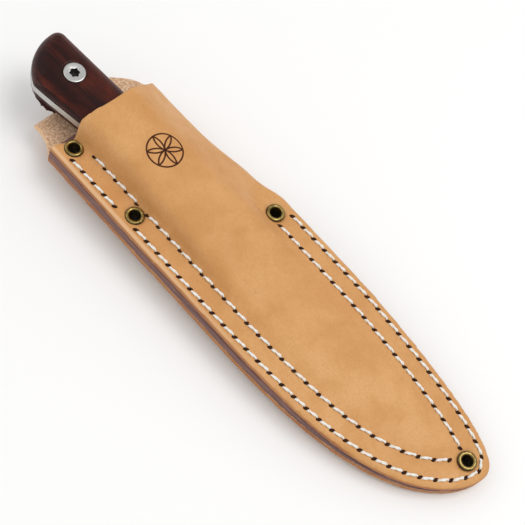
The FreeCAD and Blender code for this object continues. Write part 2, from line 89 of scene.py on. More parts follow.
@dataclass(frozen=True)
class SheathFrame:
    """The sheath's own frame, found from the bore of the mouth eyelet."""

    bore: str = "mouth_eyelet_hole"
    bore_at: tuple[float, float, float] = (-69.8, -20.6, 4.9)

    def to_part(self) -> Matrix:
        """Matrix from the sheath's millimetres to the part's metres."""
        mount = next(m for m in frame["record"]["mounts"] if m["name"] == self.bore)
        turn = Matrix.Rotation(math.asin(mount["axis"][0]), 4, "Y")
        origin = Vector(mount["pos_m"]) - turn @ (Vector(self.bore_at) * MM)
        return Matrix.Translation(origin) @ turn @ Matrix.Scale(MM, 4)


@dataclass(frozen=True)
class KnifeFrame:
    """The knife's frame, with z = 0 in the middle of the blade's thickness."""

    pivot_x: float = 89.5
    tip_z: float = 4.2
    pitch: float = 3.0

    def to_sheath(self) -> Matrix:
        """Matrix from the knife's millimetres to the sheath's."""
        pivot = Vector((self.pivot_x, 0.0, 0.0))
        turn = Matrix.Rotation(math.radians(self.pitch), 4, "Y")
        lift = Matrix.Translation(pivot + Vector((0.0, 0.0, self.tip_z)))
        return lift @ turn @ Matrix.Translation(-pivot)


SHEATH_TO_PART = SheathFrame().to_part()
KNIFE_TO_PART = SHEATH_TO_PART @ KnifeFrame().to_sheath()


# Mesh helpers


def moved(points: np.ndarray, matrix: Matrix) -> np.ndarray:
    """Put points through a matrix.

    Args:
        points: Rows of x, y, z.
        matrix: A 4 by 4 matrix.

    Returns:
        The new rows.
    """
    m = np.array(matrix)
    return points @ m[:3, :3].T + m[:3, 3]


def coordinates(mesh: bpy.types.Mesh) -> np.ndarray:
    """Vertex places of a mesh, one row each."""
    co = np.empty(len(mesh.vertices) * 3)
    mesh.vertices.foreach_get("co", co)
    return co.reshape(-1, 3)


def normals(mesh: bpy.types.Mesh) -> np.ndarray:
    """Vertex normals of a mesh, one row each."""
    values = np.empty(len(mesh.vertices) * 3)
    mesh.vertices.foreach_get("normal", values)
    return values.reshape(-1, 3)


def edge_pairs(mesh: bpy.types.Mesh) -> np.ndarray:
    """The two vertex indices of each edge, one row each."""
    pairs = np.empty(len(mesh.edges) * 2, dtype=np.int32)
    mesh.edges.foreach_get("vertices", pairs)
    return pairs.reshape(-1, 2)


def relaxed(co: np.ndarray, pairs: np.ndarray, weight: np.ndarray, rounds: int) -> np.ndarray:
    """Smooth a mesh by moving vertices to the mean of their neighbours.

    Args:
        co: Vertex places.
        pairs: Edges as pairs of vertex indices.
        weight: How far each vertex follows its neighbours, 0 to 1.
        rounds: How many times.

    Returns:
        The smoothed places.
    """
    count = len(co)
    near = np.concatenate([pairs[:, 0], pairs[:, 1]])
    far = np.concatenate([pairs[:, 1], pairs[:, 0]])
    degree = np.maximum(np.bincount(near, minlength=count), 1)
    share = 0.5 * weight[:, None]
    co = co.copy()
    for _ in range(rounds):
        sums = [np.bincount(near, weights=co[far, axis], minlength=count) for axis in range(3)]
        co += share * (np.stack(sums, axis=1) / degree[:, None] - co)
    return co


def nearest(line: np.ndarray, points: np.ndarray) -> tuple[np.ndarray, np.ndarray]:
    """How far points are from a line in the plane, and the line's left there.

    Args:
        line: The line's corners, rows of x and y.
        points: Rows whose first two values are x and y.

    Returns:
        The distances, and unit rows that point to the left of the line.
    """
    best = np.full(len(points), 1e9)
    left = np.zeros((len(points), 2))
    for a, b in zip(line, line[1:]):
        run = b - a
        t = np.clip(((points[:, :2] - a) @ run) / (run @ run), 0.0, 1.0)
        gap = np.linalg.norm(points[:, :2] - (a + t[:, None] * run), axis=1)
        closer = gap < best
        best[closer] = gap[closer]
        left[closer] = np.array([-run[1], run[0]]) / np.linalg.norm(run)
    return best, left


def ramp(values: np.ndarray, start: float, end: float) -> np.ndarray:
    """Smooth step from 0 at start to 1 at end."""
    t = np.clip((values - start) / (end - start), 0.0, 1.0)
    return t * t * (3.0 - 2.0 * t)


def joined(parts: Sequence[Mesh]) -> Mesh:
    """Several meshes as one."""
    points, faces, count = [], [], 0
    for part_points, part_faces in parts:
        points.append(part_points)
        faces += [[i + count for i in face] for face in part_faces]
        count += len(part_points)
    return np.concatenate(points), faces


def tube(rings: np.ndarray) -> Mesh:
    """A closed skin over rings of points, with flat ends.

    Args:
        rings: Points by ring, by place round the ring, by axis.

    Returns:
        The mesh.
    """
    count, sides = rings.shape[:2]
    faces = []
    for i in range(count - 1):
        for j in range(sides):
            k = (j + 1) % sides
            faces.append([i * sides + j, i * sides + k, (i + 1) * sides + k, (i + 1) * sides + j])
    faces.append(list(range(sides))[::-1])
    faces.append([(count - 1) * sides + j for j in range(sides)])
    return rings.reshape(-1, 3), faces


def lathe(profile: Sequence[Point], x: float, y: float, steps: int = 56) -> Mesh:
    """A closed ring turned about an upright axis.

    Args:
        profile: Radius and height, round the section's edge.
        x: The axis's place.
        y: The axis's place.
        steps: How many sides the turn has.

    Returns:
        The mesh.
    """
    angles = np.arange(steps) * 2 * math.pi / steps
    count = len(profile)
    points = np.empty((steps, count, 3))
    for j, (radius, height) in enumerate(profile):
        points[:, j, 0] = x + radius * np.cos(angles)
        points[:, j, 1] = y + radius * np.sin(angles)
        points[:, j, 2] = height
    faces = []
    for i in range(steps):
        for j in range(count):
            a, b = i * count, ((i + 1) % steps) * count
            k = (j + 1) % count
            faces.append([a + j, b + j, b + k, a + k])
    return points.reshape(-1, 3), faces


def new_object(name: str, mesh: Mesh, matrix: Matrix = SHEATH_TO_PART) -> bpy.types.Object:
    """Make an object with smooth shading and faces that point outwards.

    Args:
        name: The piece's name.
        mesh: Its points and faces.
        matrix: From the points' frame to the part's.

    Returns:
        The object.
    """
    data = bpy.data.meshes.new(name)
    data.from_pydata(moved(mesh[0], matrix).tolist(), [], [list(face) for face in mesh[1]])
    build = bmesh.new()
    build.from_mesh(data)
    bmesh.ops.recalc_face_normals(build, faces=build.faces)
    for face in build.faces:
        face.smooth = True
    build.to_mesh(data)
    build.free()
    made = bpy.data.objects.new(name, data)
    bpy.context.scene.collection.objects.link(made)
    return made


def remeshed(name: str, node: str, voxel: float) -> bpy.types.Object:
    """A copy of a CAD node in small even faces.

    Args:
        name: The new piece's name.
        node: The CAD node.
        voxel: Face size in millimetres.

    Returns:
        The new object.
    """
    data = frame["nodes"][node].data.copy()
    build = bmesh.new()
    build.from_mesh(data)
    bmesh.ops.remove_doubles(build, verts=build.verts, dist=MM * 0.002)
    build.to_mesh(data)
    build.free()
    made = bpy.data.objects.new(name, data)
    bpy.context.scene.collection.objects.link(made)
    modifier = made.modifiers.new("even_faces", "REMESH")
    modifier.mode = "VOXEL"
    modifier.voxel_size = voxel * MM
    depsgraph = bpy.context.evaluated_depsgraph_get()
    fine = bpy.data.meshes.new_from_object(made.evaluated_get(depsgraph))
    made.modifiers.clear()
    made.data = fine
    fine.name = name
    fine.materials.clear()
    fine.polygons.foreach_set("use_smooth", [True] * len(fine.polygons))
    return made


def reshape(piece: bpy.types.Object, co: np.ndarray) -> None:
    """Give a mesh new vertex places."""
    piece.data.vertices.foreach_set("co", co.ravel())
    piece.data.update()


def store(piece: bpy.types.Object, name: str, values: np.ndarray) -> None:
    """Keep a value for each vertex, for the materials to read."""
    attribute = piece.data.attributes.new(name, "FLOAT", "POINT")
    attribute.data.foreach_set("value", values.astype(np.float32))


def dress(
    piece: bpy.types.Object,
    material: bpy.types.Material,
    body: Body,
    nodes: Sequence[str] = (),
) -> None:
    """Give a piece its material, its body and the nodes it stands for."""
    piece.data.materials.append(material)
    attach(piece, body.value)
    if nodes:
        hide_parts(*nodes)
    LOG.info("%s: %d faces on %s", piece.name, len(piece.data.polygons), body.value)


# Materials


class Shading:
    """A material's node tree, built up call by call."""

    def __init__(self, name: str) -> None:
        """Start a material with a Principled shader."""
        self.material = bpy.data.materials.new(name)
        self.material.use_nodes = True
        self.tree = self.material.node_tree
        self.shader = self.tree.nodes["Principled BSDF"]
        coordinates_node = self.tree.nodes.new("ShaderNodeTexCoord")
        self.place = coordinates_node.outputs["Object"]

    def put(self, socket: bpy.types.NodeSocket, value: object) -> None:
        """Link a socket to another, or set its value."""
        if isinstance(value, bpy.types.NodeSocket):
            self.tree.links.new(value, socket)
        elif isinstance(value, tuple) and len(value) == 3 and socket.type == "RGBA":
            socket.default_value = (*value, 1.0)
        else:
            socket.default_value = value

    def stretched(self, scale: tuple[float, float, float], turn: float = 0.0) -> bpy.types.NodeSocket:
        """The object's place, scaled by axis and turned about Y by degrees."""
        node = self.tree.nodes.new("ShaderNodeMapping")
        self.put(node.inputs["Vector"], self.place)
        node.inputs["Scale"].default_value = scale
        node.inputs["Rotation"].default_value = (0.0, math.radians(turn), 0.0)
        return node.outputs["Vector"]

    def noise(
        self,
        scale: float,
        detail: float = 3.0,
        roughness: float = 0.55,
        distortion: float = 0.0,
        at: bpy.types.NodeSocket | None = None,
    ) -> bpy.types.NodeSocket:
        """Cloudy noise from 0 to 1, with scale in waves for each metre."""
        node = self.tree.nodes.new("ShaderNodeTexNoise")
        self.put(node.inputs["Vector"], at or self.place)
        node.inputs["Scale"].default_value = scale
        node.inputs["Detail"].default_value = detail
        node.inputs["Roughness"].default_value = roughness
        node.inputs["Distortion"].default_value = distortion
        return node.outputs["Fac"]

    def cells(self, scale: float, at: bpy.types.NodeSocket | None = None) -> bpy.types.NodeSocket:
        """Distance to the nearest point of a random net."""
        node = self.tree.nodes.new("ShaderNodeTexVoronoi")
        self.put(node.inputs["Vector"], at or self.place)
        node.inputs["Scale"].default_value = scale
        return node.outputs["Distance"]

    def stored(self, name: str) -> bpy.types.NodeSocket:
        """A value kept with the mesh."""
        node = self.tree.nodes.new("ShaderNodeAttribute")
        node.attribute_name = name
        return node.outputs["Fac"]

    def levels(self, value: bpy.types.NodeSocket, low: float, high: float) -> bpy.types.NodeSocket:
        """A value spread so that low becomes 0 and high becomes 1."""
        node = self.tree.nodes.new("ShaderNodeMapRange")
        node.interpolation_type = "SMOOTHSTEP"
        self.put(node.inputs["Value"], value)
        node.inputs["From Min"].default_value = low
        node.inputs["From Max"].default_value = high
        return node.outputs["Result"]

    def reckon(self, operation: str, a: object, b: object) -> bpy.types.NodeSocket:
        """Two values put through a Math node."""
        node = self.tree.nodes.new("ShaderNodeMath")
        node.operation = operation
        self.put(node.inputs[0], a)
        self.put(node.inputs[1], b)
        return node.outputs["Value"]

    def blend(self, factor: object, a: object, b: object) -> bpy.types.NodeSocket:
        """Colour a where the factor is 0 and b where it is 1."""
        node = self.tree.nodes.new("ShaderNodeMix")
        node.data_type = "RGBA"
        self.put(node.inputs[0], factor)
        self.put(node.inputs[6], a)
        self.put(node.inputs[7], b)
        return node.outputs[2]

    def bump(
        self, height: bpy.types.NodeSocket, depth: float, before: bpy.types.NodeSocket | None = None
    ) -> bpy.types.NodeSocket:
        """A normal raised by a height, with the depth in millimetres."""
        node = self.tree.nodes.new("ShaderNodeBump")
        node.inputs["Strength"].default_value = 1.0
        node.inputs["Distance"].default_value = depth * MM
        self.put(node.inputs["Height"], height)
        if before is not None:
            self.put(node.inputs["Normal"], before)
        return node.outputs["Normal"]

    def finish(self, **inputs: object) -> bpy.types.Material:
        """Set the shader's inputs, named with _ for spaces, and give the material."""
        for name, value in inputs.items():
            self.put(self.shader.inputs[name.replace("_", " ")], value)
        return self.material


@dataclass(frozen=True)
class HideFinish:
    """Natural vegetable-tanned leather: grain side, flesh side and cut edges."""

    tan: Colour = (0.64, 0.315, 0.106)
    pale: Colour = (0.7, 0.37, 0.138)
    deep: Colour = (0.52, 0.232, 0.066)
    mark: Colour = (0.45, 0.2, 0.07)
    edge: Colour = (0.36, 0.115, 0.035)
    bevel: Colour = (0.78, 0.5, 0.28)
    suede: Colour = (0.74, 0.46, 0.28)
    suede_dark: Colour = (0.5, 0.27, 0.145)
    suede_pale: Colour = (0.9, 0.66, 0.46)

    def material(self) -> bpy.types.Material:
        """The material, which reads the flesh, edge and bevel values."""
        s = Shading("tan_leather_grain")
        clouds = s.levels(s.noise(28.0, 4.0, 0.6, 0.6), 0.35, 0.68)
        patches = s.levels(s.noise(95.0, 5.0, 0.62, 0.4), 0.36, 0.7)
        pores = s.noise(1500.0, 3.0, 0.6)
        grain = s.cells(2400.0)
        colour = s.blend(clouds, self.tan, self.pale)
        colour = s.blend(s.reckon("MULTIPLY", patches, 0.42), colour, self.deep)
        specks = s.levels(s.noise(620.0, 2.0, 0.5), 0.63, 0.78)
        colour = s.blend(s.reckon("MULTIPLY", specks, 0.35), colour, self.mark)
        fine = s.reckon("MULTIPLY", s.levels(pores, 0.3, 0.75), 0.4)
        colour = s.blend(fine, colour, self.deep)
        nap = s.noise(1500.0, 3.0, 0.6, 0.8)
        tufts = s.noise(230.0, 4.0, 0.65, 0.8)
        suede = s.blend(s.levels(nap, 0.42, 0.6), self.suede_dark, self.suede_pale)
        suede = s.blend(s.reckon("MULTIPLY", s.levels(tufts, 0.3, 0.7), 0.5), suede, self.suede)
        flesh = s.stored("flesh")
        colour = s.blend(flesh, colour, suede)
        colour = s.blend(s.stored("bevel"), colour, self.bevel)
        layers = s.noise(380.0, 3.0, 0.6, at=s.stretched((0.12, 0.12, 3.0)))
        worn = s.blend(s.levels(layers, 0.35, 0.7), self.edge, self.deep)
        colour = s.blend(s.stored("edge"), colour, worn)
        lift = s.reckon("ADD", s.reckon("MULTIPLY", grain, 0.5), s.reckon("MULTIPLY", pores, 0.6))
        lift = s.reckon("ADD", lift, s.reckon("MULTIPLY", nap, s.reckon("MULTIPLY", flesh, 4.0)))
        creases = s.noise(160.0, 5.0, 0.6, 1.4)
        normal = s.bump(creases, 0.16, s.bump(lift, 0.055))
        rough = s.reckon("ADD", s.reckon("MULTIPLY", patches, 0.12), 0.52)
        return s.finish(
            Base_Color=colour,
            Roughness=s.reckon("ADD", rough, s.reckon("MULTIPLY", flesh, 0.35)),
            Specular_IOR_Level=0.38,
            Sheen_Weight=0.03,
            Sheen_Roughness=0.5,
            Normal=normal,
        )


@dataclass(frozen=True)
class WeltFinish:
    """Dyed leather strip whose layered edge shows between the panels."""

    dye: Colour = (0.13, 0.058, 0.05)
    pale: Colour = (0.27, 0.14, 0.12)
    streak: Colour = (0.07, 0.025, 0.02)

    def material(self) -> bpy.types.Material:
        """The material."""
        s = Shading("purple_brown_welt")
        along = s.stretched((0.16, 0.16, 2.2), 2.4)
        fibres = s.noise(900.0, 4.0, 0.65, at=along)
        colour = s.blend(s.levels(fibres, 0.3, 0.72), self.dye, self.pale)
        layers = s.levels(s.noise(260.0, 2.0, 0.5, at=s.stretched((0.05, 0.05, 3.0), 2.4)), 0.5, 0.62)
        colour = s.blend(s.reckon("MULTIPLY", layers, 0.5), colour, self.streak)
        speck = s.noise(1400.0, 3.0, 0.7)
        return s.finish(
            Base_Color=s.blend(s.reckon("MULTIPLY", s.levels(speck, 0.5, 0.8), 0.3), colour, self.pale),
            Roughness=0.62,
            Specular_IOR_Level=0.35,
            Normal=s.bump(s.reckon("ADD", fibres, s.reckon("MULTIPLY", speck, 0.4)), 0.12),
        )


@dataclass(frozen=True)
class ThreadFinish:
    """White waxed thread, a little soiled between the plies."""

    white: Colour = (0.84, 0.82, 0.77)
    soiled: Colour = (0.56, 0.49, 0.4)

    def material(self) -> bpy.types.Material:
        """The material."""
        s = Shading("white_waxed_thread")
        dirt_and_shade = s.levels(s.noise(420.0, 3.0, 0.6), 0.52, 0.8)
        fibre = s.noise(5200.0, 2.0, 0.6)
        colour = s.blend(s.reckon("MULTIPLY", dirt_and_shade, 0.55), self.white, self.soiled)
        return s.finish(
            Base_Color=colour,
            Roughness=0.5,
            Specular_IOR_Level=0.4,
            Subsurface_Weight=0.08,
            Subsurface_Scale=0.0004,
            Normal=s.bump(fibre, 0.03),
        )


@dataclass(frozen=True)
class HoleFinish:
    """Dark leather: painted shade inside an awl hole, or the char of a burned line."""

    name: str
    dark: Colour
    pale: Colour

    def material(self) -> bpy.types.Material:
        """The material."""
        s = Shading(self.name)
        # Mottled between dark and pale: painted shade in an awl hole, soot in a burned line.
        soot_and_shade = s.levels(s.noise(1300.0, 3.0, 0.6), 0.3, 0.7)
        return s.finish(
            Base_Color=s.blend(soot_and_shade, self.dark, self.pale),
            Roughness=0.85,
            Specular_IOR_Level=0.15,
            Normal=s.bump(s.noise(2600.0), 0.05),
        )


@dataclass(frozen=True)
class BrassFinish:
    """Antique brass, bright where it is rubbed and black in the corners."""

    rubbed: Colour = (0.42, 0.3, 0.1)
    aged: Colour = (0.15, 0.105, 0.036)
    black: Colour = (0.022, 0.018, 0.012)

    def material(self) -> bpy.types.Material:
        """The material, which reads the patina value."""
        s = Shading("antique_brass")
        clouds = s.levels(s.noise(520.0, 4.0, 0.65), 0.35, 0.68)
        colour = s.blend(clouds, self.rubbed, self.aged)
        patina = s.stored("patina")
        colour = s.blend(patina, colour, self.black)
        rough = s.reckon("ADD", s.reckon("MULTIPLY", clouds, 0.14), 0.24)
        return s.finish(
            Base_Color=colour,
            Metallic=1.0,
            Roughness=s.reckon("ADD", rough, s.reckon("MULTIPLY", patina, 0.35)),
            Normal=s.bump(s.noise(1900.0, 3.0), 0.02),
        )


@dataclass(frozen=True)
class SteelFinish:
    """Ground steel with fine lines one way."""

    name: str
    light: Colour
    shade: Colour
    roughness: float
    lines: tuple[float, float, float]
    # Near black: painted shade for the bolts' sockets.
    dirt_and_shade: Colour = (0.008, 0.006, 0.005)

    def material(self) -> bpy.types.Material:
        """The material, which reads a stored value that paints shade into the bolts' sockets: near
        black, not metallic and rougher there.
        """
        s = Shading(self.name)
        scratches = s.noise(1500.0, 3.0, 0.6, at=s.stretched(self.lines, 5.4))
        stains = s.levels(s.noise(120.0, 3.0, 0.6), 0.5, 0.8)
        colour = s.blend(scratches, self.light, self.shade)
        rough = s.reckon("ADD", s.reckon("MULTIPLY", scratches, 0.16), self.roughness)
        colour = s.blend(s.reckon("MULTIPLY", stains, 0.25), colour, self.shade)
        # Painted shade in the sockets: near black, less metallic and rougher.
        socket_shade = s.stored("socket_shade")
        return s.finish(
            Base_Color=s.blend(socket_shade, colour, self.dirt_and_shade),
            Metallic=s.reckon("SUBTRACT", 1.0, socket_shade),
            Roughness=s.reckon("ADD", rough, s.reckon("MULTIPLY", socket_shade, 0.4)),
            Normal=s.bump(scratches, 0.012),
        )


@dataclass(frozen=True)
class WoodFinish:
    """Dark reddish hardwood, oiled and polished."""

    dark: Colour = (0.016, 0.0035, 0.0028)
    brown: Colour = (0.055, 0.0095, 0.0055)
    red: Colour = (0.17, 0.024, 0.009)

    def material(self) -> bpy.types.Material:
        """The material."""
        s = Shading("dark_red_hardwood")
        along = s.stretched((0.14, 1.0, 1.0), 5.4)
        rings = s.noise(150.0, 4.0, 0.6, 1.6, at=along)
        figure = s.noise(46.0, 3.0, 0.55, 0.8, at=s.stretched((0.45, 1.0, 1.0), 5.4))
        pores = s.noise(2100.0, 3.0, 0.6, at=s.stretched((0.06, 1.0, 1.0), 5.4))
        colour = s.blend(s.levels(rings, 0.35, 0.66), self.dark, self.brown)
        glow = s.levels(figure, 0.5, 0.72)
        colour = s.blend(s.reckon("MULTIPLY", glow, s.levels(rings, 0.28, 0.66)), colour, self.red)
        colour = s.blend(s.reckon("MULTIPLY", s.levels(pores, 0.56, 0.72), 0.6), colour, self.dark)
        return s.finish(
            Base_Color=colour,
            Roughness=s.reckon("ADD", s.reckon("MULTIPLY", pores, 0.18), 0.34),
            Specular_IOR_Level=0.14,
            Coat_Weight=0.03,
            Coat_Roughness=0.2,
            Normal=s.bump(pores, 0.035),
        )


# Sheath


@dataclass(frozen=True)
class SheathOutline:
    """The sheath's outline seen from the front, and the flange's height."""

    mouth_x: float = -75.4
    tip: Point = (108.0, 11.0)
    half_width: float = 27.0
    belly_start_x: float = -20.0
    fold_end_x: float = -14.0
    leather: float = 2.6
    welt_at_mouth: float = 4.8
    welt_at_tip: float = 1.0
    taper_x: float = 38.0

    def side(self, start: Point, bluntness: float, fullness: float, count: int = 60) -> np.ndarray:
        """Points of one long edge, from its straight part to the tip.

        Args:
            start: Where the straight part ends.
            bluntness: Power of the curve along the sheath.
            fullness: Power of the curve across the sheath.
            count: How many points.

        Returns:
            Rows of x and y.
        """
        angle = math.pi / 2 * (1.0 - np.arange(count) / (count - 1))
        along = np.maximum(np.cos(angle), 0.0) ** (2.0 / bluntness)
        across = np.maximum(np.sin(angle), 0.0) ** (2.0 / fullness)
        x = start[0] + (self.tip[0] - start[0]) * along
        y = self.tip[1] + (start[1] - self.tip[1]) * across
        return np.stack([x, y], axis=1)

    def sewn_edge(self) -> np.ndarray:
        """The cut edge, from the mouth round the tip to the end of the fold."""
        belly = self.side((self.belly_start_x, -self.half_width), 4.0, 1.7)
        spine = self.side((self.fold_end_x, self.half_width), 3.0, 2.6)
        start = [[self.mouth_x - 20.0, -self.half_width]]
        return np.concatenate([start, belly, spine[-2::-1]])

    def distance(self, points: np.ndarray) -> np.ndarray:
        """How far points are from the sewn edge, seen from the front."""
        return nearest(self.sewn_edge(), points)[0]

    def flange(self, x: np.ndarray) -> np.ndarray:
        """Height of the welt's top."""
        slope = (self.welt_at_mouth - self.welt_at_tip) / (self.tip[0] - self.taper_x)
        return self.leather + self.welt_at_mouth - slope * np.maximum(0.0, x - self.taper_x)


@dataclass
class Stitch:
    """One stitch on show: its middle, its directions and its length."""

    middle: np.ndarray
    along: np.ndarray
    outwards: np.ndarray
    length: float


@dataclass
class Skin:
    """The leather's surface, for other pieces to be laid on."""

    tree: BVHTree
    reach: float = 6.0

    @classmethod
    def of(cls, piece: bpy.types.Object) -> "Skin":
        """The surface of a piece, in the sheath's millimetres."""
        co = moved(coordinates(piece.data), SHEATH_TO_PART.inverted())
        faces = [list(face.vertices) for face in piece.data.polygons]
        return cls(BVHTree.FromPolygons(co.tolist(), faces))

    def under(self, point: np.ndarray, outwards: np.ndarray) -> np.ndarray:
        """Where the leather lies under a point, or the point if there is none."""
        start = Vector(point + outwards * self.reach)
        hit = self.tree.ray_cast(start, Vector(-outwards), 2 * self.reach)[0]
        return point if hit is None else np.array(hit)

    def laid(self, stitch: Stitch) -> Stitch:
        """The stitch with its ends brought down to the leather."""
        half = stitch.along * stitch.length / 2
        a = self.under(stitch.middle - half, stitch.outwards)
        b = self.under(stitch.middle + half, stitch.outwards)
        along = (b - a) / np.linalg.norm(b - a)
        side = np.cross(stitch.outwards, along)
        outwards = np.cross(along, side / np.linalg.norm(side))
        middle = 0.5 * (a + b)
        rise = (self.under(stitch.middle, stitch.outwards) - middle) @ outwards
        return Stitch(middle + outwards * max(0.0, rise), along, outwards, stitch.length)


@dataclass
class Sewing:
    """The rows of waxed thread and the awl holes that they go through."""

    skin: Skin
    rows: tuple[tuple[str, str], ...] = (
        ("outer_row_stitches", "outer_row_thread"),
        ("inner_belly_stitches", "inner_belly_row_thread"),
        ("inner_upper_stitches", "inner_upper_row_thread"),
        ("belt_loop_stitches", "belt_loop_thread"),
    )
    ply_radius: float = 0.35
    ply_offset: float = 0.2
    turns: float = 0.95
    slant: float = 7.0
    rings: int = 13
    sides: int = 8
    gap: float = 1.7
    dive: float = 0.32
    hole_half: Point = (1.2, 0.6)
    hole_turn: float = 34.0

    def stitches(self, node: str) -> list[Stitch]:
        """Read the stitches of a row from its CAD node.

        Args:
            node: The row's CAD node, whose solids are one flat bar each.

        Returns:
            One stitch for each solid.
        """
        build = bmesh.new()
        build.from_mesh(frame["nodes"][node].data)
        bmesh.ops.remove_doubles(build, verts=build.verts, dist=MM * 0.005)
        co = moved(np.array([v.co for v in build.verts]), SHEATH_TO_PART.inverted())
        build.verts.index_update()
        seen, found = set(), []
        for seed in build.verts:
            if seed.index in seen:
                continue
            group, heap = [], [seed]
            seen.add(seed.index)
            while heap:
                vert = heap.pop()
                group.append(vert.index)
                for edge in vert.link_edges:
                    other = edge.other_vert(vert)
                    if other.index not in seen:
                        seen.add(other.index)
                        heap.append(other)
            found.append(self.stitch_from_bar(co[group]))
        build.free()
        return found

    def stitch_from_bar(self, corners: np.ndarray) -> Stitch:
        """The stitch that a flat bar stands for."""
        middle = corners.mean(axis=0)
        axes = np.linalg.svd(corners - middle)[2]
        along, thin = axes[0], axes[2]
        spread = (corners - middle) @ along
        outwards = thin * np.sign(thin[2]) * (1.0 if middle[2] > 2.0 else -1.0)
        half = np.abs((corners - middle) @ thin).max()
        return Stitch(middle - outwards * half, along, outwards, float(np.ptp(spread)))

    def strand(self, stitch: Stitch, phase: float) -> Mesh:
        """One ply of a stitch, twisted about its middle line and dipped at its ends."""
        side = np.cross(stitch.outwards, stitch.along)
        lean = math.radians(self.slant)
        along = stitch.along * math.cos(lean) + side * math.sin(lean)
        side = np.cross(stitch.outwards, along)
        u = np.linspace(-1.0, 1.0, self.rings)
        reach = 0.5 * (stitch.length + self.dive * self.gap)
        lift = 0.36 - 0.95 * np.abs(u) ** 7
        twist = phase + self.turns * math.pi * u
        squeeze = 1.0 - 0.25 * np.abs(u) ** 4
        out = lift + 0.16 * np.sin(twist)
        across = self.ply_offset * np.cos(twist) * squeeze
        line = stitch.middle + np.outer(u * reach, along) + np.outer(out, stitch.outwards)
        line += np.outer(across, side)
        angles = np.arange(self.sides) * 2 * math.pi / self.sides
        ring = np.outer(np.cos(angles), side) + np.outer(np.sin(angles), stitch.outwards)
        rings = line[:, None, :] + ring[None] * self.ply_radius * squeeze[:, None, None]
        return tube(rings)

    def row(self, stitches: list[Stitch]) -> Mesh:
        """All the stitches of a row, two plies each."""
        plies = []
        for i, stitch in enumerate(stitches):
            phase = 0.9 * i
            plies += [self.strand(stitch, phase), self.strand(stitch, phase + math.pi)]
        return joined(plies)

    def holes(self, stitches: list[Stitch]) -> list[Stitch]:
        """The awl holes at the ends of the stitches, each one once."""
        found: list[Stitch] = []
        for stitch in stitches:
            for sign in (-1.0, 1.0):
                offset = sign * 0.5 * (stitch.length + self.gap)
                middle = self.skin.under(stitch.middle + stitch.along * offset, stitch.outwards)
                if all(np.linalg.norm(middle - hole.middle) > 1.0 for hole in found):
                    found.append(Stitch(middle, stitch.along, stitch.outwards, 0.0))
        return found

    def hole_mesh(self, holes: list[Stitch]) -> Mesh:
        """Slanted dark slots, one for each awl hole, coloured as painted shade."""
        turn = math.radians(self.hole_turn)
        angles = np.arange(14) * 2 * math.pi / 14
        parts = []
        for hole in holes:
            side = np.cross(hole.outwards, hole.along)
            a = hole.along * math.cos(turn) + side * math.sin(turn)
            b = np.cross(hole.outwards, a)
            rings = []
            for scale, depth in ((0.45, 0.8), (0.9, 0.7), (1.0, 0.08), (0.85, 0.06), (0.3, 0.3)):
                oval = np.outer(np.cos(angles) * self.hole_half[0] * scale, a)
                oval += np.outer(np.sin(angles) * self.hole_half[1] * scale, b)
                rings.append(hole.middle + oval - hole.outwards * depth)
            parts.append(tube(np.array(rings)))
        return joined(parts)

    def build(self) -> list[Stitch]:
        """Make every row and its holes.

        Returns:
            The awl holes, for the leather to dip round.
        """
        thread = ThreadFinish().material()
        # Near black browns: painted shade inside the awl holes.
        awl_hole_shade = HoleFinish("shaded_awl_hole", (0.02, 0.007, 0.003), (0.05, 0.018, 0.008))
        holes = []
        for name, node in self.rows:
            stitches = [self.skin.laid(stitch) for stitch in self.stitches(node)]
            piece = new_object(name, self.row(stitches))
            dress(piece, thread, Body.SHEATH, [node])
            holes += self.holes(stitches)
        slots = new_object("awl_holes", self.hole_mesh(holes))
        dress(slots, awl_hole_shade.material(), Body.SHEATH)
        return holes


